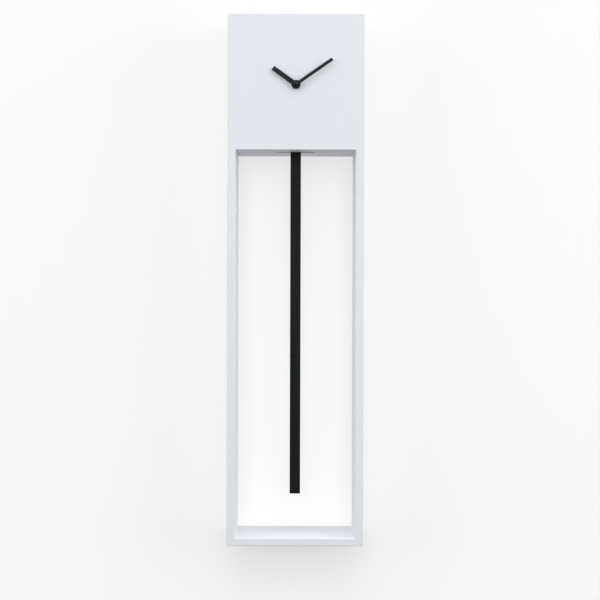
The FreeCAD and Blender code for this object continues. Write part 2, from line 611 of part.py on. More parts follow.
def make_motion_work():
    tube_bore = MINUTE_ARBOR_RADIUS + RUNNING_CLEARANCE
    wheel = gear(HOUR_WHEEL_TEETH, HOUR_MODULE, *HOUR_WHEEL_Y, 0, SHAFT_Z, MINUTE_WHEEL_DIRECTION)
    tube = rod(HOUR_TUBE_RADIUS, HOUR_TUBE_FRONT, HOUR_WHEEL_Y[1], 0, SHAFT_Z)
    hour_wheel = join(wheel, tube).cut(rod(tube_bore, HOUR_TUBE_FRONT, HOUR_WHEEL_Y[1], 0, SHAFT_Z))
    save("hour_wheel", hour_wheel)

    leaves = pinion(CENTRE_PINION_TEETH, MINUTE_MODULE, *CENTRE_PINION_Y, 0, SHAFT_Z, MINUTE_WHEEL_DIRECTION)
    arbor = join(leaves,
                 rod(STUB_RADIUS, STUB_FRONT, MINUTE_SHOULDER, 0, SHAFT_Z),
                 rod(MINUTE_ARBOR_RADIUS, MINUTE_SHOULDER, CENTRE_PINION_Y[0], 0, SHAFT_Z),
                 rod(MINUTE_JOURNAL_RADIUS, CENTRE_PINION_Y[1], JOURNAL_BACK, 0, SHAFT_Z),
                 rod(MINUTE_TAIL_RADIUS, JOURNAL_BACK, MINUTE_ARBOR_REAR, 0, SHAFT_Z))
    arbor = arbor.cut(rod(PIVOT_HOLE_RADIUS, MINUTE_ARBOR_REAR - 1.2, MINUTE_ARBOR_REAR, 0, SHAFT_Z))
    save("minute_arbor", arbor)

    x, z = MINUTE_WHEEL_X, MINUTE_WHEEL_Z
    wheel = gear(MINUTE_WHEEL_TEETH, MINUTE_MODULE, *MINUTE_WHEEL_Y, x, z,
                 meshing_phase(MINUTE_WHEEL_DIRECTION, MINUTE_WHEEL_TEETH))
    leaves = pinion(MINUTE_PINION_TEETH, HOUR_MODULE, *MINUTE_PINION_Y, x, z,
                    meshing_phase(MINUTE_WHEEL_DIRECTION, MINUTE_PINION_TEETH))
    bore = rod(STUD_RADIUS + RUNNING_CLEARANCE, MINUTE_PINION_Y[0], MINUTE_WHEEL_Y[1], x, z)
    save("minute_wheel", join(wheel, leaves).cut(bore))


def make_setting_work():
    x, z = SETTING_X, SETTING_Z
    knob_front = COVER_OUTSIDE + 1.2
    knob_back = knob_front + 3.4
    seat = knob_back - 1.0
    leaves = pinion(SETTING_PINION_TEETH, MINUTE_MODULE, *SETTING_PINION_Y, x, z,
                    meshing_phase(SETTING_DIRECTION, SETTING_PINION_TEETH))
    shoulder = HOUSING_INSIDE + 0.2
    pivot_front = HOUSING_INSIDE - BLIND_HOLE_DEPTH + 0.1
    arbor = join(leaves,
                 rod(SETTING_PIVOT_RADIUS, pivot_front, shoulder, x, z),
                 rod(SETTING_ARBOR_RADIUS, shoulder, seat, x, z))
    save("setting_arbor", arbor)
    knob_radius = 5.5
    knob = rod(knob_radius, knob_front, knob_back, x, z)
    ridges = 24
    groove_radius = 0.35
    for number in range(ridges):
        angle = 2 * pi * number / ridges
        edge_x = x + knob_radius * cos(angle)
        edge_z = z + knob_radius * sin(angle)
        knob = knob.cut(rod(groove_radius, knob_front, knob_back, edge_x, edge_z))
    knob = knob.cut(ring(3.8, 1.6, knob_back - 0.8, knob_back, x, z))
    save("setting_knob", knob.cut(rod(SETTING_ARBOR_RADIUS, knob_front, seat, x, z)))


# ---- going train ---------------------------------------------------------------
def make_train():
    wheel = gear(CENTRE_WHEEL_TEETH, CENTRE_MODULE, *CENTRE_WHEEL_Y, 0, SHAFT_Z, THIRD_DIRECTION)
    hub_front = CENTRE_WHEEL_Y[0] - 0.1
    hub_back = CENTRE_WHEEL_Y[1] + 0.2
    hub = rod(2.0, hub_front, hub_back, 0, SHAFT_Z)
    friction_bore = rod(MINUTE_TAIL_RADIUS + 0.02, hub_front, hub_back, 0, SHAFT_Z)
    save("centre_wheel", join(wheel, hub).cut(friction_bore))

    x, z = THIRD_X, THIRD_Z
    back_direction = THIRD_DIRECTION + pi
    save("third_wheel", join(
        gear(THIRD_WHEEL_TEETH, THIRD_MODULE, *THIRD_WHEEL_Y, x, z, back_direction),
        pinion(LEAVES, CENTRE_MODULE, *THIRD_PINION_Y, x, z, meshing_phase(THIRD_DIRECTION, LEAVES)),
        rod(0.9, THIRD_PINION_Y[1], THIRD_WHEEL_Y[0], x, z),
        *train_arbor(x, z)))

    save("seconds_wheel", join(
        gear(SECONDS_WHEEL_TEETH, SECONDS_MODULE, *SECONDS_WHEEL_Y, 0, SHAFT_Z, INTERMEDIATE_DIRECTION),
        pinion(LEAVES, THIRD_MODULE, *SECONDS_PINION_Y, 0, SHAFT_Z, meshing_phase(back_direction, LEAVES)),
        rod(0.9, SECONDS_PINION_Y[1], SECONDS_WHEEL_Y[0], 0, SHAFT_Z),
        rod(PIVOT_RADIUS, MINUTE_ARBOR_REAR - 1.0, SECONDS_PINION_Y[0], 0, SHAFT_Z),
        *train_arbor(0, SHAFT_Z, SECONDS_PINION_Y[0], has_front_pivot=False)))

    x, z = INTERMEDIATE_X, INTERMEDIATE_Z
    save("intermediate_wheel", join(
        gear(INTERMEDIATE_WHEEL_TEETH, INTERMEDIATE_MODULE, *INTERMEDIATE_WHEEL_Y, x, z, ROTOR_DIRECTION),
        pinion(LEAVES, SECONDS_MODULE, *INTERMEDIATE_PINION_Y, x, z,
               meshing_phase(INTERMEDIATE_DIRECTION, LEAVES)),
        rod(1.2, INTERMEDIATE_PINION_Y[1], INTERMEDIATE_WHEEL_Y[0], x, z),
        *train_arbor(x, z)))

    x, z = ROTOR_X, ROTOR_Z
    save("rotor_pinion", join(
        pinion(LEAVES, INTERMEDIATE_MODULE, *ROTOR_PINION_Y, x, z, meshing_phase(ROTOR_DIRECTION, LEAVES)),
        *train_arbor(x, z)))
    save("rotor_magnet", ring(ROTOR_MAGNET_RADIUS, ARBOR_RADIUS, *ROTOR_MAGNET_Y, x, z))


# ---- stepping motor and electronics --------------------------------------------
def make_motor():
    core_y = (STATOR_Y[1], STATOR_Y[1] + 0.8)
    arm = 3.0
    high = SHAFT_Z + 21.0
    low = SHAFT_Z + 2.0
    turn_x = COIL_X - 6.4
    arm_z = ROTOR_Z - 5.0
    end_x = COIL_X + 2.4
    stator = join(
        rod(5.2, *STATOR_Y, ROTOR_X, ROTOR_Z),
        box(ROTOR_X, end_x, *STATOR_Y, high - arm, high),
        box(ROTOR_X, turn_x + arm, *STATOR_Y, arm_z, arm_z + arm),
        box(turn_x, turn_x + arm, *STATOR_Y, low, arm_z + arm),
        box(turn_x, end_x, *STATOR_Y, low, low + arm))
    rotor_room = rod(ROTOR_MAGNET_RADIUS + 0.5, *STATOR_Y, ROTOR_X, ROTOR_Z)
    for side in (-1, 1):
        rotor_room = rotor_room.fuse(rod(0.5, *STATOR_Y, ROTOR_X + side * 2.3, ROTOR_Z + side * 2.3))
    save("stator", stator.cut(rotor_room))

    core_half = 1.5
    core = box(COIL_X - core_half, COIL_X + core_half, *core_y, low, high)
    save("motor_core", core)
    middle_y = (core_y[0] + core_y[1]) / 2
    up = Vector(0, 0, 1)
    spool_low = low + arm + 0.2
    spool_high = high - arm - 0.2
    core_radius = 1.9

    def round_block(radius, z0, z1):
        return Part.makeCylinder(radius, z1 - z0, Vector(COIL_X, middle_y, z0), up)

    tunnel = box(COIL_X - core_half, COIL_X + core_half, *core_y, spool_low, spool_high)
    spool = join(round_block(core_radius, spool_low, spool_high),
                 round_block(2.8, spool_low, spool_low + COIL_FLANGE),
                 round_block(2.8, spool_high - COIL_FLANGE, spool_high))
    save("motor_bobbin", spool.cut(tunnel))
    winding = round_block(2.6, spool_low + COIL_FLANGE, spool_high - COIL_FLANGE)
    save("motor_winding", winding.cut(round_block(core_radius, spool_low, spool_high)))


def make_electronics():
    left, right = 4.5, 19.5
    low, high = SHAFT_Z - 21.5, SHAFT_Z - 10.0
    component_seat = BOARD_Y[1]
    post = rod(1.0, HOUSING_INSIDE, BOARD_Y[0], left + 2.0, low + 2.0)
    board = box(left, right, *BOARD_Y, low, high)
    save("board_post", post)
    save("circuit_board", board)
    chip = Part.makeSphere(3.2, Vector(left + 9.0, component_seat - 2.0, low + 5.6))
    save("timing_chip", chip.common(box(left, right, component_seat, component_seat + 2.0, low, high)))
    up = Vector(0, 0, 1)
    can_radius = 1.0
    can = Part.makeCylinder(can_radius, 6.0, Vector(left + 1.6, component_seat + can_radius, high - 7.0), up)
    save("quartz_crystal", can)

    drive_left, drive_right = 10.5, 24.5
    drive_low, drive_high = SHAFT_Z - 56.0, SHAFT_Z - 36.0
    save("drive_board", box(drive_left, drive_right, *BOARD_Y, drive_low, drive_high))
    capacitor_radius = 2.0
    foot = Vector(drive_left + 4.0, component_seat + capacitor_radius, drive_low + 7.0)
    save("drive_capacitor", Part.makeCylinder(capacitor_radius, 5.5, foot, up))


def make_drive_coil():
    front, back = DRIVE_COIL_FRONT, DRIVE_COIL_BACK
    wound_front = front + COIL_FLANGE
    wound_back = back - COIL_FLANGE
    spool = join(rod(DRIVE_CORE_RADIUS, front, back, 0, MAGNET_Z),
                 rod(DRIVE_FLANGE_RADIUS, front, wound_front, 0, MAGNET_Z),
                 rod(DRIVE_FLANGE_RADIUS, wound_back, back, 0, MAGNET_Z))
    save("drive_bobbin", spool.cut(rod(DRIVE_POST_RADIUS, front, back, 0, MAGNET_Z)))
    save("drive_winding", ring(DRIVE_WINDING_RADIUS, DRIVE_CORE_RADIUS, wound_front, wound_back, 0, MAGNET_Z))


# ---- battery -------------------------------------------------------------------
def make_battery():
    z = SHAFT_Z + BATTERY_RISE
    along = Vector(1, 0, 0)
    half_length = 24.6
    nub_length = 1.1
    contact_width = 6.0

    def barrel(radius, x0, x1):
        return Part.makeCylinder(radius, x1 - x0, Vector(x0, BATTERY_Y, z), along)

    can = barrel(BATTERY_RADIUS, -half_length, half_length)
    rims = [edge for edge in can.Edges if edge.BoundBox.XLength < 1e-6]
    can = can.makeFillet(0.6, rims)
    nub = barrel(2.7, half_length, half_length + nub_length)
    save("battery", join(can, nub))

    thickness = 0.4
    plate_x = half_length + nub_length
    plate = box(plate_x, plate_x + thickness, BATTERY_Y - 6.0, COVER_INSIDE, z - 5.0, z + 5.0)
    plate = plate.makeFillet(1.0, [edge for edge in plate.Edges if edge.BoundBox.XLength > thickness / 2])
    save("battery_contact_plate", plate)

    # The sprung contact is a strip, bowed towards the battery and folded back at its foot.
    def strip_point(x, y):
        return Vector(x, y, z - contact_width / 2)

    wall_x = -HOUSING_HALF_WIDTH + HOUSING_WALL
    bow_x = -half_length - thickness
    low_y = BATTERY_Y - 6.0
    high_y = BATTERY_Y + 6.0
    outer = Part.Arc(strip_point(wall_x, low_y), strip_point(bow_x, BATTERY_Y), strip_point(wall_x, high_y))
    inner = Part.Arc(strip_point(wall_x + thickness, low_y), strip_point(bow_x + thickness, BATTERY_Y),
                     strip_point(wall_x + thickness, high_y))
    outline = Part.Wire([outer.toShape(),
                         Part.makeLine(strip_point(wall_x, high_y), strip_point(wall_x + thickness, high_y)),
                         inner.toShape(),
                         Part.makeLine(strip_point(wall_x + thickness, low_y), strip_point(wall_x, low_y))])
    save("battery_contact_spring", Part.Face(outline).extrude(Vector(0, 0, contact_width)))


# ---- pendulum ------------------------------------------------------------------
def hook_outline():
    """Side view of the arm and its hook, as a loop of points on the plane X = -HOOK_HALF_WIDTH."""
    trough_back = BAR_MIDDLE_Y + BAR_THICKNESS / 2 + TAB_THICKNESS + 1.2
    lip_back = trough_back + 1.5
    under = HOOK_SEAT_Z - HOOK_THICKNESS
    lip_top = HOOK_SEAT_Z + 5.5
    shoulder = HOOK_SEAT_Z + 9.0
    corners = [(ARM_FRONT, shoulder), (ARM_FRONT, under), (lip_back, under), (lip_back, lip_top),
               (trough_back, lip_top), (trough_back, HOOK_SEAT_Z), (ARM_BACK, HOOK_SEAT_Z),
               (ARM_BACK, shoulder)]
    return [Vector(-HOOK_HALF_WIDTH, y, z) for y, z in corners]


def make_swing_arm():
    pivot = PENDULUM_PIVOT_Z
    hub_back = ARM_BACK + 0.8
    lower_end = HOOK_SEAT_Z + 2.0
    strip = box(-ARM_HALF_WIDTH, ARM_HALF_WIDTH, ARM_FRONT, ARM_BACK, lower_end, pivot)
    hub = rod(ARM_HALF_WIDTH, ARM_FRONT, hub_back, 0, pivot)
    magnet_cup = rod(MAGNET_RADIUS + 1.4, ARM_FRONT, hub_back, 0, MAGNET_Z)
    points = hook_outline()
    hook = Part.Face(Part.makePolygon(points + points[:1])).extrude(Vector(2 * HOOK_HALF_WIDTH, 0, 0))
    arm = join(strip, hub, magnet_cup, hook)
    arm = arm.cut(rod(PIVOT_PIN_RADIUS + 0.03, ARM_FRONT, hub_back, 0, pivot))
    arm_magnet = rod(MAGNET_RADIUS, ARM_FRONT, ARM_BACK, 0, MAGNET_Z)
    save("swing_arm", arm.cut(arm_magnet))
    save("arm_magnet", arm_magnet)

    pin_end = hub_back + 1.6
    groove_front = hub_back + 0.4
    groove_back = groove_front + 0.5
    groove_radius = 0.5
    clip_radius = 1.9
    mouth_half = 0.45
    pin = rod(PIVOT_PIN_RADIUS, PIN_SEAT, pin_end, 0, pivot)
    pin = pin.cut(ring(PIVOT_PIN_RADIUS, groove_radius, groove_front, groove_back, 0, pivot))
    save("pivot_pin", pin)
    clip = ring(clip_radius, groove_radius, groove_front, groove_back, 0, pivot)
    mouth = box(-mouth_half, mouth_half, groove_front, groove_back, pivot - clip_radius, pivot)
    save("pivot_clip", clip.cut(mouth))


def make_pendulum():
    bar_front = BAR_MIDDLE_Y - BAR_THICKNESS / 2
    bar_back = BAR_MIDDLE_Y + BAR_THICKNESS / 2
    half = BAR_WIDTH / 2
    bar = box(-half, half, bar_front, bar_back, BAR_BOTTOM, BAR_TOP)
    bar = bar.makeFillet(0.35, bar.Edges)
    tab_back = bar_back + TAB_THICKNESS
    tab_top = HOOK_SEAT_Z + 4.5
    tab_low = CEILING + 1.0
    tab = rounded_block(-TAB_HALF_WIDTH, TAB_HALF_WIDTH, bar_back, tab_back, tab_low, tab_top, 2.0)
    window_side = HOOK_HALF_WIDTH + 0.1
    window_low = HOOK_SEAT_Z - HOOK_THICKNESS - 0.3
    tab = tab.cut(box(-window_side, window_side, bar_back, tab_back, window_low, HOOK_SEAT_Z))
    rivets = []
    for z in (BAR_TOP - 5.0, BAR_TOP - 13.0):
        bore = rod(RIVET_RADIUS, bar_front, tab_back, 0, z)
        bar = bar.cut(bore)
        tab = tab.cut(bore)
        head = rod(RIVET_HEAD_RADIUS, tab_back, tab_back + 0.9, 0, z)
        head = head.makeFillet(0.7, [edge for edge in head.Edges if edge.BoundBox.YMin > tab_back + 0.5])
        rivets.append(join(rod(RIVET_RADIUS, bar_front + 0.2, tab_back, 0, z), head))
    save("pendulum_bar", bar)
    save("bar_hanger", tab)
    save("bar_rivets", *rivets)


os.makedirs("parts", exist_ok=True)
make_case()
make_hanger()
make_housing()
make_back_cover()
make_middle_plate()
make_fixing()
make_hands()
make_motion_work()
make_setting_work()
make_train()
make_motor()
make_electronics()
make_drive_coil()
make_battery()
make_swing_arm()
make_pendulum()
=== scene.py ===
import bpy
import json
from math import atan2, pi, radians
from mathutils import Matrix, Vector


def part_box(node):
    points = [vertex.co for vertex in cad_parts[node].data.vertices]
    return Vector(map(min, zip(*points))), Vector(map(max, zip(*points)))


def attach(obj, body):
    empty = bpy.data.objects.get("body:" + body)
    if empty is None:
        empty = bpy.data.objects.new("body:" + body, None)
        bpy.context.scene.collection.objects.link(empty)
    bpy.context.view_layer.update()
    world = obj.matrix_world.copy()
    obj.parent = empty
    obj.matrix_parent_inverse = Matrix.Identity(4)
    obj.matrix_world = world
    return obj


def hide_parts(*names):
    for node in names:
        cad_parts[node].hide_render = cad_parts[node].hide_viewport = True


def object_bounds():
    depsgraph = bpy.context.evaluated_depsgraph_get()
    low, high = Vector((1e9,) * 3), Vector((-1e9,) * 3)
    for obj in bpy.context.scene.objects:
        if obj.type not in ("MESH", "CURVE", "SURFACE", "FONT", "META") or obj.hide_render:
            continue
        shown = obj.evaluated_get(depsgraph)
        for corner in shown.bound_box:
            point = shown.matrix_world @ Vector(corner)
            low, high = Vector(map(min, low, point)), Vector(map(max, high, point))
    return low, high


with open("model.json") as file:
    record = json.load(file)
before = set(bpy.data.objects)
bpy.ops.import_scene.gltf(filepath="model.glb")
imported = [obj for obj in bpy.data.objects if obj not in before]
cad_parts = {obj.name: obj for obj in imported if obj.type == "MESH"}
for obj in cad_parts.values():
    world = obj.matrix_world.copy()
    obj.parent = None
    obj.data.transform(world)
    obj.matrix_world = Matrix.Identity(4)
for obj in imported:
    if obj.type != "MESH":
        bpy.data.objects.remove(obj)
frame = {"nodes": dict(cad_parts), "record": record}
cad_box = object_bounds()
nodes = frame["nodes"]
MM = 0.001


# ---- places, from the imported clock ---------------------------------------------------
def middle(node):
    low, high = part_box(node)
    return (low + high) / 2


case_low, case_high = cad_box
window_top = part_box("pendulum_shelf")[0].z
window_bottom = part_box("base_panel")[1].z
window_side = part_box("right_side")[0].x
shaft = middle("threaded_bush")
knob_centre = middle("setting_knob")
cell = middle("battery")


# ---- shader building -----------------------------------------------------------------
class Value:
    """A socket with ordinary arithmetic, which adds Math nodes to its tree."""

    def __init__(self, shading, socket):
        self.shading = shading
        self.socket = socket

    def maths(self, operation, *others):
        inputs = {"Value": self}
        for place, other in enumerate(others, 1):
            inputs[f"Value_{place:03d}"] = other
        return self.shading.node("Math", {"operation": operation}, inputs)

    def __add__(self, other):
        return self.maths("ADD", other)

    def __mul__(self, other):
        return self.maths("MULTIPLY", other)

    def __sub__(self, other):
        return self.maths("SUBTRACT", other)

    def __rsub__(self, other):
        inputs = {"Value": other, "Value_001": self}
        return self.shading.node("Math", {"operation": "SUBTRACT"}, inputs)

    __radd__ = __add__
    __rmul__ = __mul__

    def size(self):
        return self.maths("ABSOLUTE")

    def wave(self):
        return self.maths("SINE")

    def root(self):
        return self.maths("SQRT")

    def largest(self, other):
        return self.maths("MAXIMUM", other)

    def step(self, start, end):
        """0 at start and 1 at end, with a soft ramp between, whichever is larger."""
        inputs = {"Value": self, "From Min": start, "From Max": end}
        return self.shading.node("MapRange", {"interpolation_type": "SMOOTHSTEP"}, inputs)


class Shading:
    """A node tree under construction."""

    def __init__(self, tree, coordinates):
        self.tree = tree
        self.place = self.node("TexCoord", output=coordinates)
        parts = self.node("SeparateXYZ", {}, {"Vector": self.place}).socket.node.outputs
        self.x, self.y, self.z = (Value(self, parts[axis]) for axis in "XYZ")

    def node(self, kind, settings=None, inputs=None, output=None):
        """Any node: its settings first, then values or links for its sockets."""
        made = self.tree.nodes.new("ShaderNode" + kind)
        for name, value in (settings or {}).items():
            setattr(made, name, value)
        sockets = {socket.identifier: socket for socket in made.inputs}
        for name, value in (inputs or {}).items():
            if isinstance(value, Value):
                self.tree.links.new(value.socket, sockets[name])
            else:
                sockets[name].default_value = value
        results = {socket.identifier: socket for socket in made.outputs}
        return Value(self, results[output] if output else made.outputs[0])


class Finish(Shading):
    """One material, on the object's own coordinates."""

    def __init__(self, name, **uniform):
        self.material = bpy.data.materials.new(name)
        self.material.use_nodes = True
        self.material.node_tree.nodes.clear()
        super().__init__(self.material.node_tree, "Object")
        self.output = self.tree.nodes.new("ShaderNodeOutputMaterial")
        self.shader = self.tree.nodes.new("ShaderNodeBsdfPrincipled")
        self.tree.links.new(self.shader.outputs["BSDF"], self.output.inputs["Surface"])
        for socket, value in uniform.items():
            self.shader.inputs[socket.replace("_", " ")].default_value = value

    def drawn_out(self, stretch, turn=(0, 0, 0)):
        """Coordinates that draw a pattern out along an axis, turned first."""
        return self.node("Mapping", {}, {"Vector": self.place, "Rotation": turn, "Scale": stretch})

    def noise(self, grain, detail=2.0, roughness=0.5, where=None):
        """Soft noise whose features are about grain metres across, from 0 to 1."""
        inputs = {"Vector": where or self.place, "Scale": 1 / grain, "Detail": detail, "Roughness": roughness}
        return self.node("TexNoise", {}, inputs, "Fac")

    def cells(self, grain):
        """Distance from the middles of cells about grain metres across: 0 in the middle."""
        return self.node("TexVoronoi", {}, {"Vector": self.place, "Scale": 1 / grain}, "Distance")

    def radius(self, centre):
        """Distance from an axis along Y through a centre."""
        across, up = self.x - centre[0], self.z - centre[2]
        return (across * across + up * up).root()

    def colours(self, mask, below, above):
        """One colour where the mask is 0, another where it is 1."""
        inputs = {"Factor_Float": mask}
        for name, colour in (("A_Color", below), ("B_Color", above)):
            inputs[name] = colour if isinstance(colour, Value) else (*colour, 1.0)
        return self.node("Mix", {"data_type": "RGBA"}, inputs, "Result_Color")

    def tinted(self, colour, amount):
        """A colour made darker or lighter by an amount that varies."""
        return self.node("VectorMath", {"operation": "SCALE"}, {"Vector": colour, "Scale": amount})

    def bump(self, height, depth, below=None):
        """Relief of a height from 0 to 1 that is depth metres deep, over the relief below it."""
        inputs = {"Height": height, "Distance": depth, "Strength": 1.0}
        if below:
            inputs["Normal"] = below
        return self.node("Bump", {}, inputs)

    def set(self, **links):
        """Varying values or plain colours for the shader's sockets; the finished material."""
        for name, value in links.items():
            socket = self.shader.inputs[name.replace("_", " ")]
            if isinstance(value, Value):
                self.tree.links.new(value.socket, socket)
            else:
                socket.default_value = (*value, 1.0)
        return self.material


# ---- finishes ------------------------------------------------------------------------
ROUND = 2 * pi


def near(value, place, width):
    """1 at a place along an axis, falling to 0 at a width from it."""
    return (value - place).size().step(width, 0.0)


def white_lacquer():
    """Sprayed satin lacquer on fibreboard: faint orange peel, rubbed at the arrises, thin at the back."""
    f = Finish("white_lacquer", Specular_IOR_Level=0.35)
    cloud = f.noise(0.16, 3.0)
    mottle = f.noise(0.012, 4.0, 0.6)
    speck = f.noise(0.0011, 3.0, 0.65)
    tone = 0.975 + cloud * 0.022 + mottle * 0.014 + speck * 0.014
    arris = 1.1 * MM
    front = near(f.y, case_low.y, arris)
    beside_window = near(f.x.size(), window_side, arris) * f.z.step(window_top + arris, window_top)
    side = near(f.x.size(), case_high.x, arris).largest(beside_window)
    level = near(f.z, case_high.z, arris)
    for height in (case_low.z, window_top, window_bottom):
        level = level.largest(near(f.z, height, arris))
    edge = (front * side).largest(front * level).largest(side * level)
    rubbed = edge * f.noise(0.006, 4.0, 0.7).step(0.45, 0.7)
    lacquer = f.tinted((0.772, 0.778, 0.799), tone)
    lacquer = f.colours(rubbed * 0.35, lacquer, (0.66, 0.67, 0.70))
    streaks = f.noise(0.004, 4.0, 0.7, f.drawn_out((1, 1, 0.2)))
    thin = f.y.step(-2.0 * MM, -0.4 * MM) * streaks.step(0.35, 0.75)
    lacquer = f.colours(thin * 0.35, lacquer, (0.60, 0.56, 0.50))
    ripple = f.bump(f.noise(0.02), 0.06 * MM)
    peel = f.bump(f.noise(0.0022, 2.0, 0.45), 0.02 * MM, ripple)
    relief = f.bump(f.noise(0.0005, 2.0, 0.6), 0.006 * MM, peel)
    roughness = 0.40 + mottle * 0.10 + speck * 0.06 - rubbed * 0.10 + thin * 0.25
    return f.set(Base_Color=lacquer, Roughness=roughness, Normal=relief)


def bare_wood():
    """Beech dowel: long grain and short dark rays."""
    f = Finish("bare_wood", Specular_IOR_Level=0.3)
    along = f.drawn_out((0.06, 1, 1))
    grain = f.noise(0.0012, 5.0, 0.65, along)
    bands = (f.noise(0.004, 3.0, 0.5, along) * 24.0).wave() * 0.5 + 0.5
    rays = f.noise(0.0006, 2.0, 0.5, f.drawn_out((0.15, 1, 1))).step(0.62, 0.7)
    wood = f.colours(bands, (0.66, 0.44, 0.25), (0.76, 0.56, 0.35))
    wood = f.colours(rays * 0.5, wood, (0.42, 0.24, 0.12))
    return f.set(Base_Color=f.tinted(wood, 0.85 + grain * 0.3), Roughness=0.6 + grain * 0.2,
                 Normal=f.bump(grain, 0.08 * MM))


def painted_sheet(name, colour, worn, grain, roughness):
    """Black paint on thin metal, with a fine tooth, small pits and a few light scratches."""
    f = Finish(name, Specular_IOR_Level=0.16)
    tooth = f.noise(grain, 3.0, 0.6)
    cloud = f.noise(0.02, 3.0, 0.5)
    pits = f.cells(grain * 2.2).step(0.5, 0.2)
    paint = f.colours(tooth * 0.5 + cloud * 0.3, colour, worn)
    slanting = f.drawn_out((1, 1, 0.03), turn=(0, radians(30), 0))
    scratch = f.noise(0.0016, 3.0, 0.6, slanting).step(0.68, 0.74)
    paint = f.colours(scratch * 0.25, paint, tuple(3.0 * part for part in worn))
    relief = f.bump(tooth, 0.035 * MM, f.bump(pits, 0.015 * MM))
    return f.set(Base_Color=paint, Roughness=roughness + tooth * 0.14 - scratch * 0.1, Normal=relief)


def rolled_metal(name, colour, dull, roughness, turn=(0, 0, 0), grain=0.0006):
    """Sheet or drawn metal with the fine lines of rolling and a few handling marks."""
    f = Finish(name, Metallic=1.0)
    lines = f.noise(grain, 4.0, 0.7, f.drawn_out((1, 1, 0.03), turn))
    cloud = f.noise(0.005, 4.0, 0.6)
    slanting = f.drawn_out((1, 1, 0.05), turn=(0, radians(52), 0))
    marks = f.noise(0.0012, 3.0, 0.6, slanting).step(0.66, 0.72)
    metal = f.colours(cloud * 0.6 + lines * 0.4, colour, dull)
    metal = f.tinted(metal, 1.0 - marks * 0.25)
    return f.set(Base_Color=metal, Roughness=roughness + cloud * 0.14 + marks * 0.12,
                 Normal=f.bump(lines, 0.008 * MM))


def turned_brass():
    """Brass from the lathe: fine rings about the hands' axis, a little tarnish."""
    f = Finish("brass", Metallic=1.0)
    tool_step = 0.12 * MM
    wander = f.noise(0.0015)
    rings = ((f.radius(shaft) + f.y) * (ROUND / tool_step) + wander * 1.5).wave() * 0.5 + 0.5
    tarnish = f.noise(0.0035, 4.0, 0.6).step(0.42, 0.75)
    metal = f.colours(tarnish * 0.7, (0.80, 0.58, 0.26), (0.60, 0.42, 0.18))
    metal = f.tinted(metal, 0.94 + rings * 0.06)
    return f.set(Base_Color=metal, Roughness=0.24 + tarnish * 0.18 + rings * 0.05,
                 Normal=f.bump(rings, 0.003 * MM))


def black_rubber():
    """Pressed rubber washer with open pores and a grey bloom."""
    f = Finish("black_rubber", Specular_IOR_Level=0.3)
    pores = f.cells(0.0007).step(0.35, 0.1)
    bloom = f.noise(0.004, 4.0, 0.6).step(0.5, 0.8)
    rubber = f.colours(bloom * 0.6, (0.018, 0.018, 0.018), (0.06, 0.06, 0.058))
    return f.set(Base_Color=rubber, Roughness=0.72 + bloom * 0.18,
                 Normal=f.bump(pores, -0.03 * MM, f.bump(f.noise(0.0018), 0.04 * MM)))


def moulded(name, colour, shade, roughness, grain, depth, gloss=0.35):
    """Moulded plastic with spark-eroded grain, faint flow marks and a few rubbed spots."""
    f = Finish(name, Specular_IOR_Level=gloss)
    texture = f.cells(grain)
    fine = f.noise(grain * 0.6, 3.0, 0.6)
    flow = f.noise(0.014, 4.0, 0.55, f.drawn_out((1, 1, 0.4), turn=(0, radians(25), 0)))
    rubbed = f.noise(0.008, 4.0, 0.65).step(0.58, 0.75)
    plastic = f.colours(flow * 0.7 + fine * 0.3, colour, shade)
    relief = f.bump(texture, depth, f.bump(fine, depth * 0.5))
    return f.set(Base_Color=plastic, Roughness=roughness + fine * 0.12 - rubbed * 0.12, Normal=relief)


def gear_plastic():
    """Natural acetal: milky, nearly smooth."""
    f = Finish("gear_plastic", Specular_IOR_Level=0.5)
    milk = f.noise(0.006, 4.0, 0.5)
    fine = f.noise(0.0005, 3.0, 0.6)
    plastic = f.colours(milk, (0.80, 0.78, 0.70), (0.72, 0.70, 0.62))
    plastic = f.tinted(plastic, 0.96 + fine * 0.08)
    return f.set(Base_Color=plastic, Roughness=0.34 + milk * 0.14 + fine * 0.08,
                 Normal=f.bump(fine, 0.008 * MM, f.bump(f.noise(0.003), 0.02 * MM)))


def magnet_grain():
    """Pressed and sintered magnet: dark grey with bright flecks and tiny chips."""
    f = Finish("magnet", Metallic=0.85)
    chip = f.noise(0.0012, 3.0, 0.7).step(0.62, 0.72)
    dark = f.colours(f.noise(0.00035, 2.0).step(0.55, 0.7), (0.13, 0.13, 0.14), (0.30, 0.30, 0.31))
    stone = f.colours(chip, dark, (0.07, 0.07, 0.07))
    relief = f.bump(chip, -0.05 * MM, f.bump(f.noise(0.0004, 2.0), 0.015 * MM))
    return f.set(Base_Color=stone, Roughness=0.42 + chip * 0.3, Normal=relief)


def wound_copper():
    """Enamelled copper wire, amber over metal."""
    f = Finish("copper", Metallic=1.0, Coat_Roughness=0.15, Coat_IOR=1.5)
    tone = f.noise(0.002, 3.0, 0.6)
    fine = f.noise(0.0003, 2.0)
    wire = f.colours(tone, (0.72, 0.30, 0.12), (0.52, 0.18, 0.07))
    return f.set(Base_Color=wire, Roughness=0.24 + fine * 0.18, Coat_Weight=0.6 + tone * 0.3,
                 Normal=f.bump(fine, 0.006 * MM))


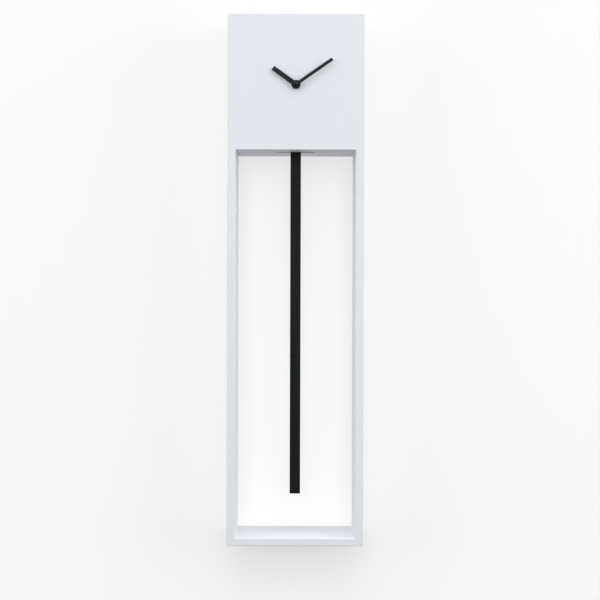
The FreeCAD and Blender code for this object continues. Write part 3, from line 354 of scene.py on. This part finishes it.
def solder_mask():
    """Green circuit board: tracks under the mask, glass cloth at the cut edges."""
    f = Finish("board", Specular_IOR_Level=0.5)
    upright = f.drawn_out((1, 1, 1), turn=(pi / 2, 0, 0))
    gaps = f.node("TexBrick", {"offset": 0.37},
                  {"Vector": upright, "Scale": 1 / MM, "Brick Width": 3.1, "Row Height": 1.05,
                   "Mortar Size": 0.12, "Mortar Smooth": 0.3}, "Fac")
    track = 1.0 - gaps
    yarn = 0.6 * MM
    weave = (f.x * (ROUND / yarn)).wave() * (f.z * (ROUND / yarn)).wave() * 0.5 + 0.5
    low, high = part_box("circuit_board")
    face = near(f.y, low.y, 0.05 * MM).largest(near(f.y, high.y, 0.05 * MM))
    mask = f.colours(track, (0.055, 0.20, 0.075), (0.022, 0.115, 0.040))
    glass = f.colours(weave, (0.50, 0.48, 0.26), (0.40, 0.38, 0.20))
    relief = f.bump(track, -0.03 * MM, f.bump(weave, 0.006 * MM))
    return f.set(Base_Color=f.colours(face, glass, mask), Roughness=0.60 - face * 0.30 + weave * 0.06,
                 Normal=relief)


def epoxy():
    """Black resin, shiny with shallow pits."""
    f = Finish("chip", Specular_IOR_Level=0.5)
    pits = f.noise(0.0009, 3.0, 0.6)
    resin = f.colours(pits, (0.012, 0.012, 0.013), (0.03, 0.03, 0.032))
    return f.set(Base_Color=resin, Roughness=0.22 + pits * 0.25, Normal=f.bump(pits, 0.06 * MM))


def battery_sleeve():
    """Printed shrink sleeve with plain bands and bare metal at both ends."""
    low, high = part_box("battery")
    f = Finish("battery_sleeve", Specular_IOR_Level=0.5)
    band_start = low.x + 31.0 * MM
    line_middle = low.x + 29.6 * MM
    seam_level = cell.z + 5.0 * MM
    wrinkle = f.noise(0.003, 4.0, 0.6, f.drawn_out((0.25, 1, 1)))
    band = f.x.step(band_start, band_start + 0.3 * MM)
    line = near(f.x, line_middle, 0.5 * MM).step(0.2, 0.6)
    seam = near(f.z, seam_level, 0.25 * MM) * f.y.step(cell.y, cell.y + 1.0 * MM)
    ink = f.colours(band, (0.030, 0.055, 0.12), (0.62, 0.60, 0.56))
    ink = f.colours(line, ink, (0.75, 0.40, 0.05))
    ink = f.tinted(ink, 0.95 + wrinkle * 0.1)
    flat_end = f.x.step(low.x + 0.7 * MM, low.x + 0.5 * MM)
    contact_end = f.x.step(high.x - 1.6 * MM, high.x - 1.5 * MM)
    bare = flat_end.largest(contact_end)
    surface = f.colours(bare, ink, (0.66, 0.66, 0.65))
    return f.set(Base_Color=surface, Metallic=bare * 0.95, Roughness=0.26 + wrinkle * 0.12 + bare * 0.06,
                 Normal=f.bump(wrinkle, 0.05 * MM, f.bump(seam, 0.08 * MM)))


def gloss_black():
    """Black plated brass cap, polished, with the faint rings of turning."""
    f = Finish("gloss_black", Specular_IOR_Level=0.22)
    tool_step = 0.25 * MM
    rings = (f.radius(shaft) * (ROUND / tool_step)).wave() * 0.5 + 0.5
    haze = f.noise(0.001, 3.0, 0.6)
    black = f.colours(haze, (0.004, 0.004, 0.005), (0.010, 0.010, 0.011))
    return f.set(Base_Color=black, Roughness=0.08 + haze * 0.06 + rings * 0.02,
                 Normal=f.bump(rings, 0.002 * MM))


finishes = {
    "white_lacquer": white_lacquer(),
    "bare_wood": bare_wood(),
    "black_hand": painted_sheet("black_hand", (0.010, 0.013, 0.017), (0.020, 0.025, 0.031),
                                grain=0.0005, roughness=0.50),
    "black_bar": painted_sheet("black_bar", (0.0026, 0.0036, 0.0044), (0.0065, 0.0085, 0.0100),
                               grain=0.0008, roughness=0.46),
    "zinc_steel": rolled_metal("zinc_steel", (0.66, 0.67, 0.68), (0.52, 0.52, 0.50), roughness=0.26),
    "brass": turned_brass(),
    "black_rubber": black_rubber(),
    "housing_plastic": moulded("housing_plastic", (0.016, 0.016, 0.018), (0.028, 0.028, 0.030),
                               roughness=0.46, grain=0.0007, depth=0.05 * MM),
    "gear_plastic": gear_plastic(),
    "knob_plastic": moulded("knob_plastic", (0.66, 0.66, 0.63), (0.58, 0.58, 0.55),
                            roughness=0.38, grain=0.0006, depth=0.02 * MM, gloss=0.45),
    "magnet": magnet_grain(),
    "iron": rolled_metal("iron", (0.42, 0.42, 0.43), (0.27, 0.26, 0.26), roughness=0.34,
                         turn=(0, radians(90), 0)),
    "copper": wound_copper(),
    "board": solder_mask(),
    "chip": epoxy(),
    "can_metal": rolled_metal("can_metal", (0.78, 0.78, 0.79), (0.64, 0.64, 0.66), roughness=0.20,
                              grain=0.0003),
    "battery_sleeve": battery_sleeve(),
    "gloss_black": gloss_black(),
}

slot_of = {part["node"]: part["material_slot"] for part in frame["record"]["subparts"]}
for name, node in nodes.items():
    node.data.materials[0] = finishes[slot_of[name]]


# ---- modelling, step by step ---------------------------------------------------------
RIGHT = (1, 0, 0)
BACKWARDS = (0, 1, 0)
UP = (0, 0, 1)
SMOOTH_ANGLE = radians(32)


def settle():
    """Put the selected piece's place, turn and size into its mesh."""
    bpy.ops.object.transform_apply(location=True, rotation=True, scale=True)


def turned(profile, sides=64):
    """A solid turned on the Z axis: a disc drawn out and resized by steps of height and radius in mm."""
    (height, radius), *later = [(step * MM, size * MM) for step, size in profile]
    bpy.ops.object.select_all(action="DESELECT")
    bpy.ops.mesh.primitive_circle_add(vertices=sides, radius=radius, fill_type="NGON",
                                      location=(0, 0, height))
    bpy.ops.object.mode_set(mode="EDIT")
    for next_height, next_radius in later:
        bpy.ops.mesh.extrude_region_move(TRANSFORM_OT_translate={"value": (0, 0, next_height - height)})
        growth = next_radius / radius
        bpy.ops.transform.resize(value=(growth, growth, 1))
        height, radius = next_height, next_radius
    bpy.ops.mesh.select_all(action="SELECT")
    bpy.ops.mesh.normals_make_consistent(inside=False)
    bpy.ops.object.mode_set(mode="OBJECT")
    settle()
    return bpy.context.active_object


def pick(piece, wanted):
    """Open a piece for editing with only the faces that a test wants selected."""
    bpy.ops.object.mode_set(mode="EDIT")
    bpy.ops.mesh.select_mode(type="FACE")
    bpy.ops.mesh.select_all(action="DESELECT")
    bpy.ops.object.mode_set(mode="OBJECT")
    for face in piece.data.polygons:
        face.select = wanted(face)
    bpy.ops.object.mode_set(mode="EDIT")


def work_on(piece):
    """Select one piece alone."""
    bpy.ops.object.select_all(action="DESELECT")
    piece.select_set(True)
    bpy.context.view_layer.objects.active = piece


def combine(piece, tool, operation):
    """Take the tool's shape out of a piece, or weld it on, and put the tool away."""
    work_on(piece)
    combining = piece.modifiers.new("combine", "BOOLEAN")
    combining.object = tool
    combining.operation = operation
    bpy.ops.object.modifier_apply(modifier=combining.name)
    bpy.data.objects.remove(tool)


def cross_recess(piece, top, half_length, half_width, depth):
    """Press a tapered cross into the top of a screw head, sizes in mm."""
    for quarter in (0.0, pi / 2):
        bpy.ops.object.select_all(action="DESELECT")
        bpy.ops.mesh.primitive_cube_add(size=2.0, location=(0, 0, top * MM), rotation=(0, 0, quarter),
                                        scale=(half_length * MM, half_width * MM, depth * MM))
        blade = bpy.context.active_object
        pick(blade, lambda face: face.normal.z < -0.9)
        bpy.ops.transform.resize(value=(0.5, 0.8, 1) if quarter == 0.0 else (0.8, 0.5, 1))
        bpy.ops.object.mode_set(mode="OBJECT")
        combine(piece, blade, "DIFFERENCE")


def bore(piece, low, high, radius):
    """Drill a piece along its Z axis, between two heights in mm."""
    bpy.ops.object.select_all(action="DESELECT")
    bpy.ops.mesh.primitive_cylinder_add(vertices=64, radius=radius * MM, depth=(high - low) * MM,
                                        location=(0, 0, (low + high) / 2 * MM))
    combine(piece, bpy.context.active_object, "DIFFERENCE")


def another(piece):
    """A copy of a piece with its own mesh."""
    copied = piece.copy()
    copied.data = piece.data.copy()
    bpy.context.scene.collection.objects.link(copied)
    return copied


def fitted(piece, name, seat, along, body, slot, *stands_for):
    """Turn a piece's Z axis along an axis of the clock, move it to its seat and give it its finish."""
    work_on(piece)
    piece.name = name
    piece.rotation_euler = Vector(along).to_track_quat("Z", "Y").to_euler()
    piece.location = seat
    settle()
    bpy.ops.object.shade_smooth_by_angle(angle=SMOOTH_ANGLE)
    piece.data.materials.clear()
    piece.data.materials.append(finishes[slot])
    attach(piece, body)
    if stands_for:
        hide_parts(*stands_for)


def thread(start, end, pitch, root, crest):
    """Profile of ridges that stand side by side, from the start up."""
    ridges = int((end - start) / pitch)
    steps = []
    for ridge in range(ridges):
        low = start + ridge * pitch
        steps += [(low, root), (low + 0.42 * pitch, crest), (low + 0.58 * pitch, crest)]
    return steps + [(start + ridges * pitch, root)]


# ---- battery -------------------------------------------------------------------------
def battery():
    """Zinc-cased cell: crimped flat end, sleeve rolled over both shoulders, raised far contact."""
    low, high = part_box("battery")
    length = (high.x - low.x) / MM
    shoulder = length - 1.9
    flat_end = [(0.30, 4.0), (0.30, 4.4), (0.0, 4.6), (0.0, 5.7), (0.12, 5.9), (0.45, 6.05), (0.45, 6.5)]
    sleeve = [(0.12, 6.65), (0.18, 6.85), (0.5, 7.02), (0.9, 7.1),
              (shoulder - 0.8, 7.1), (shoulder - 0.4, 7.02), (shoulder - 0.1, 6.85), (shoulder, 6.6)]
    contact = [(shoulder - 0.25, 6.45), (shoulder - 0.25, 6.2), (shoulder - 0.05, 6.1),
               (shoulder - 0.05, 3.9), (shoulder + 0.1, 3.3), (shoulder + 0.35, 2.85),
               (length - 0.35, 2.7), (length - 0.1, 2.6), (length, 2.3)]
    piece = turned(flat_end + sleeve + contact, sides=72)
    fitted(piece, "cell_in_sleeve", (low.x, cell.y, cell.z), RIGHT, "case", "battery_sleeve", "battery")


battery()


# ---- screws --------------------------------------------------------------------------
COVER_HEAD = 1.2
# mm across from the shaft, mm above it, and degrees that the cross is turned
COVER_SCREWS = ((-24.0, 21.6, 17), (24.0, -17.6, 64), (-24.0, -59.6, 38), (24.0, -59.6, 81))
HANGER_HEAD_RADIUS = 3.5
cover_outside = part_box("cover_screws")[1].y - COVER_HEAD * MM


def driven(screw, turn):
    """A copy of a screw, its cross standing as the driver left it."""
    copied = another(screw)
    copied.rotation_euler.z = radians(turn)
    work_on(copied)
    settle()
    return copied


def cover_screws():
    """Pan-head screws at the corners of the movement's back."""
    point = [(-7.9, 0.5), (-7.7, 0.85)]
    shank = thread(-7.6, -0.6, pitch=0.6, root=0.84, crest=1.08) + [(-0.4, 1.08), (0.0, 1.08)]
    head = [(0.0, 2.05), (0.1, 2.2), (0.45, 2.2), (0.75, 2.08), (0.98, 1.8), (1.12, 1.4),
            (COVER_HEAD, 0.8)]
    pattern = turned(point + shank + head, sides=40)
    cross_recess(pattern, top=COVER_HEAD, half_length=1.3, half_width=0.3, depth=0.8)
    for number, (across, above, turn) in enumerate(COVER_SCREWS, 1):
        seat = (across * MM, cover_outside, shaft.z + above * MM)
        fitted(driven(pattern, turn), f"cover_screw_{number}", seat, BACKWARDS, "case", "zinc_steel",
               "cover_screws")
    bpy.data.objects.remove(pattern)


def hanger_screws():
    """Countersunk wood screws, flush with the hanger plate."""
    low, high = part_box("hanger_screws")
    point = [(-11.0, 0.12), (-10.4, 0.5), (-10.1, 0.9), (-9.8, 0.6), (-9.3, 0.95), (-9.0, 1.4)]
    shank = thread(-8.8, -2.4, pitch=1.1, root=1.15, crest=1.7) + [(-2.2, 1.6), (-1.8, 1.72)]
    head = [(-0.12, 3.4), (-0.03, 3.47), (0.0, 3.4)]
    pattern = turned(point + shank + head, sides=48)
    cross_recess(pattern, top=0.0, half_length=2.1, half_width=0.45, depth=1.1)
    across = high.x - HANGER_HEAD_RADIUS * MM
    level = (low.z + high.z) / 2
    for side, name, turn in ((-across, "left", 25), (across, "right", 70)):
        fitted(driven(pattern, turn), f"hanger_screw_{name}", (side, case_high.y, level), BACKWARDS, "case",
               "zinc_steel", "hanger_screws")
    bpy.data.objects.remove(pattern)


cover_screws()
hanger_screws()


# ---- setting knob --------------------------------------------------------------------
ARBOR_RADIUS = 0.8
FLUTES = 32
FLUTE_DEPTH = 0.28
FLUTE_MARGIN = 0.06


def knob():
    """Fluted knob with a dished face, for a fingertip."""
    low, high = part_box("setting_knob")
    height = (high.y - low.y) / MM
    radius = (high.x - low.x) / 2 / MM
    profile = [(0.0, radius - 0.5), (0.3, radius - 0.08), (0.45, radius), (height - 0.75, radius),
               (height - 0.35, radius - 0.12), (height - 0.1, radius - 0.4), (height, radius - 0.9),
               (height, radius - 1.6), (height - 0.25, radius - 1.95), (height - 0.45, radius - 2.6),
               (height - 0.5, 1.0)]
    strips = 3 * FLUTES
    piece = turned(profile, sides=strips)

    def in_flute(face):
        """Every third strip of the upright side."""
        strip = int(atan2(face.center.y, face.center.x) / ROUND % 1.0 * strips + 0.01)
        return abs(face.normal.z) < 0.1 and strip % 3 == 0

    pick(piece, in_flute)
    bpy.ops.mesh.inset(thickness=FLUTE_MARGIN * MM, depth=-FLUTE_DEPTH * MM, use_individual=True)
    bpy.ops.object.mode_set(mode="OBJECT")
    bore(piece, -1.0, height - 1.0, ARBOR_RADIUS)
    fitted(piece, "fluted_knob", (knob_centre.x, low.y, knob_centre.z), BACKWARDS, "setting_shaft",
           "knob_plastic", "setting_knob")


knob()


# ---- mouldings on the movement's back -------------------------------------------------
SIGN_LENGTH = 3.4
SIGN_STROKE = 0.9
SIGNS_BELOW_CELL = 13.5
PLUS_FROM_MIDDLE = 18.5
MINUS_FROM_MIDDLE = -15.5
RING_OUTSIDE = 7.5
RING_INSIDE = 6.7
ARROW_PLACE = 7.1
ARROW_RADIUS = 1.5


def stroke(across, tall):
    """Small raised bar with softened edges, sizes in mm, standing a little way into the cover."""
    bpy.ops.object.select_all(action="DESELECT")
    bpy.ops.mesh.primitive_cube_add(size=1.0, location=(0, 0, 0.1 * MM),
                                    scale=(across * MM, tall * MM, 0.5 * MM))
    piece = bpy.context.active_object
    settle()
    bpy.ops.object.mode_set(mode="EDIT")
    bpy.ops.mesh.select_all(action="SELECT")
    bpy.ops.mesh.bevel(offset=0.12 * MM, segments=2)
    bpy.ops.object.mode_set(mode="OBJECT")
    return piece


def polarity_marks():
    """Plain plus and minus signs under the battery, at the ends they belong to."""
    plus = stroke(SIGN_LENGTH, SIGN_STROKE)
    combine(plus, stroke(SIGN_STROKE, SIGN_LENGTH), "UNION")
    minus = stroke(SIGN_LENGTH, SIGN_STROKE)
    level = cell.z - SIGNS_BELOW_CELL * MM
    signs = (("plus_mark", plus, PLUS_FROM_MIDDLE), ("minus_mark", minus, MINUS_FROM_MIDDLE))
    for name, sign, across in signs:
        fitted(sign, name, (cell.x + across * MM, cover_outside, level), BACKWARDS, "case", "housing_plastic")


def setting_ring():
    """Raised ring around the knob, with an arrowhead for each way it turns."""
    outline = [(-0.1, RING_OUTSIDE), (0.3, RING_OUTSIDE), (0.4, RING_OUTSIDE - 0.1), (0.4, 6.0)]
    ring = turned(outline, sides=96)
    bore(ring, -1.0, 1.0, RING_INSIDE)
    for side in (-1, 1):
        bpy.ops.object.select_all(action="DESELECT")
        bpy.ops.mesh.primitive_cylinder_add(vertices=3, radius=ARROW_RADIUS * MM, depth=0.5 * MM,
                                            location=(side * ARROW_PLACE * MM, 0, 0.15 * MM))
        arrow = bpy.context.active_object
        pick(arrow, lambda face: face.normal.z > 0.9)
        bpy.ops.mesh.inset(thickness=0.1 * MM)
        bpy.ops.transform.translate(value=(0, 0, 0.1 * MM))
        bpy.ops.object.mode_set(mode="OBJECT")
        combine(ring, arrow, "UNION")
    fitted(ring, "setting_ring", (knob_centre.x, cover_outside, knob_centre.z), BACKWARDS, "case",
           "housing_plastic")


polarity_marks()
setting_ring()


# ---- coils ---------------------------------------------------------------------------
def wound(name, node, along, pitch, core_radius):
    """Layers of wire on a spool, the outer turns lying side by side, with rounded ends."""
    low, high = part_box(node)
    size = (high - low) / MM
    length = size.dot(Vector(along))
    radius = size.x / 2
    start = middle(node) - Vector(along) * length / 2 * MM
    end_radius = radius - 0.5
    turns = thread(0.04, length - 0.04, pitch, radius - pitch * 0.35, radius)
    piece = turned([(0.0, end_radius)] + turns + [(length, end_radius)], sides=56)
    bore(piece, -1.0, length + 1.0, core_radius)
    fitted(piece, name, start, along, "case", "copper", node)


wound("drive_coil_wire", "drive_winding", BACKWARDS, pitch=0.4, core_radius=2.6)
wound("motor_coil_wire", "motor_winding", UP, pitch=0.3, core_radius=1.9)


# ---- room, light and camera ----------------------------------------------------------
WALL_GAP = 0.8 * MM
FLOOR_DROP = 0.34
WALL_SIZE = 5.0
FLOOR_SIZE = 60.0
SKY_COLOUR = (0.985, 1.0, 1.02, 1.0)
SKY_SEEN = 0.86
LAMP_COLOUR = (0.970, 0.997, 1.035)
LENS = 78.1
SENSOR_WIDTH = 36.0
CAMERA_PLACE = (-0.0045, -1.800, -0.3267)
CAMERA_SHIFT = (0.0133, -0.0242)
CAMERA_ROLL = 0.16
scene = bpy.context.scene
floor_z = case_low.z - FLOOR_DROP


def wall_finish():
    """Matt white paint seen from the front only. Its own light keeps the shadows on it as soft as a
    bright room's. A painted patch of light brightens it behind the open window, standing in for the light
    that the case's inner faces send there, and a painted shadow darkens it below the case."""
    f = Finish("wall_paint", Specular_IOR_Level=0.0, Roughness=1.0, Emission_Strength=1.0)
    plaster = f.noise(0.03, 4.0, 0.6)
    soft = 30 * MM
    from_middle = f.x.size()
    # painted light: the wall's glow is raised behind the open window, standing in for light from the case's
    # inner faces
    painted_window_light = from_middle.step(window_side + soft / 2, window_side - soft)
    painted_window_light = painted_window_light * f.z.step(window_top + soft, window_top - 2 * soft)
    painted_window_light = painted_window_light * f.z.step(window_bottom - soft, window_bottom)
    # painted shadow: the wall's glow is dimmed in a band just below the case, where the clock would shade it
    painted_shadow_under_case = from_middle.step(case_high.x + soft, case_high.x - soft)
    painted_shadow_under_case = painted_shadow_under_case * f.z.step(case_low.z - 4 * soft, case_low.z)
    painted_shadow_under_case = painted_shadow_under_case * f.z.step(case_low.z + soft / 3, case_low.z)
    # the wall's even glow, plus the painted light behind the window, minus the painted shadow below the case,
    # with faint plaster
    glow = 0.612 + painted_window_light * 0.085 - painted_shadow_under_case * 0.07 + plaster * 0.006
    f.set(Base_Color=(0.352, 0.345, 0.337), Emission_Color=f.tinted((1.0, 1.0, 1.0), glow),
          Normal=f.bump(plaster, 0.03 * MM))
    clear = f.tree.nodes.new("ShaderNodeBsdfTransparent")
    behind = f.node("NewGeometry", output="Backfacing")
    sides = f.tree.nodes.new("ShaderNodeMixShader")
    f.tree.links.new(behind.socket, sides.inputs[0])
    f.tree.links.new(f.shader.outputs[0], sides.inputs[1])
    f.tree.links.new(clear.outputs[0], sides.inputs[2])
    f.tree.links.new(sides.outputs[0], f.output.inputs["Surface"])
    return f.material


def floor_finish():
    """Plain pale floor, evenly bright as far as it reaches."""
    f = Finish("floor_paint", Specular_IOR_Level=0.0, Roughness=1.0, Emission_Strength=1.0)
    cloud = f.noise(0.05, 4.0, 0.6)
    glow = f.tinted((0.66, 0.66, 0.67), 0.99 + cloud * 0.02)
    return f.set(Base_Color=(0.10, 0.10, 0.10), Emission_Color=glow)


def stage_plane(name, centre, tilt, size, finish):
    """A plane that lends no light of its own: the studio sends the light from its direction."""
    bpy.ops.object.select_all(action="DESELECT")
    bpy.ops.mesh.primitive_plane_add(size=size, location=centre, rotation=(tilt, 0, 0))
    plane = bpy.context.active_object
    plane.name = name
    settle()
    plane.data.materials.append(finish)
    plane.visible_diffuse = False
    plane.visible_glossy = False
    return plane


def studio_world():
    """Soft light by direction: from ahead of the wall, from above and from behind."""
    world = bpy.data.worlds.new("studio")
    world.use_nodes = True
    sky = Shading(world.node_tree, "Generated")
    up = sky.z.step(-0.06, 0.06)
    ahead = sky.y.step(0.06, -0.06)
    front = 0.10 + up * 0.63
    back = 0.65 + up * 0.10
    light = ahead * front + (1.0 - ahead) * back + sky.z.step(0.5, 0.9) * 0.20
    seen = sky.node("LightPath", output="Is Camera Ray")
    background = world.node_tree.nodes["Background"]
    strength = light * (1.0 - seen) + seen * SKY_SEEN
    sky.tree.links.new(strength.socket, background.inputs["Strength"])
    background.inputs["Color"].default_value = SKY_COLOUR
    return world


def softbox(name, place, aim, size, power):
    """A rectangular lamp at a place, turned to face what it lights."""
    lamp = bpy.data.lights.new(name, "AREA")
    lamp.shape = "RECTANGLE"
    lamp.size, lamp.size_y = size
    lamp.energy = power
    lamp.color = LAMP_COLOUR
    light = bpy.data.objects.new(name, lamp)
    light.location = place
    light.rotation_euler = (Vector(aim) - Vector(place)).to_track_quat("-Z", "Y").to_euler()
    scene.collection.objects.link(light)


def camera():
    """Long lens square to the dial, its frame shifted a little down and to the right."""
    data = bpy.data.cameras.new("camera")
    data.sensor_width = SENSOR_WIDTH
    data.lens = LENS
    data.shift_x, data.shift_y = CAMERA_SHIFT
    held = bpy.data.objects.new("camera", data)
    held.location = CAMERA_PLACE
    held.rotation_euler = (pi / 2, 0, 0)
    held.rotation_euler.rotate_axis("Z", radians(CAMERA_ROLL))
    scene.collection.objects.link(held)
    return held


scene.view_settings.view_transform = "Standard"
scene.world = studio_world()
wall_middle = (0, case_high.y + WALL_GAP, floor_z + WALL_SIZE / 2)
wall = stage_plane("wall", wall_middle, pi / 2, WALL_SIZE, wall_finish())
wall.visible_shadow = False
stage_plane("floor", (0, 0, floor_z), 0.0, FLOOR_SIZE, floor_finish())
clock_centre = (case_low + case_high) / 2
softbox("overhead_softbox", (0, -0.8, 1.7), (0, -0.1, -0.6), (2.6, 1.2), power=13.5)
softbox("front_softbox", (0, -2.6, -0.1), clock_centre, (1.4, 1.0), power=10.5)
softbox("left_softbox", (-2.2, -1.2, 0.2), clock_centre, (1.4, 1.8), power=22.0)
softbox("right_softbox", (2.2, -1.2, 0.2), clock_centre, (1.4, 1.8), power=28.5)
scene.camera = camera()
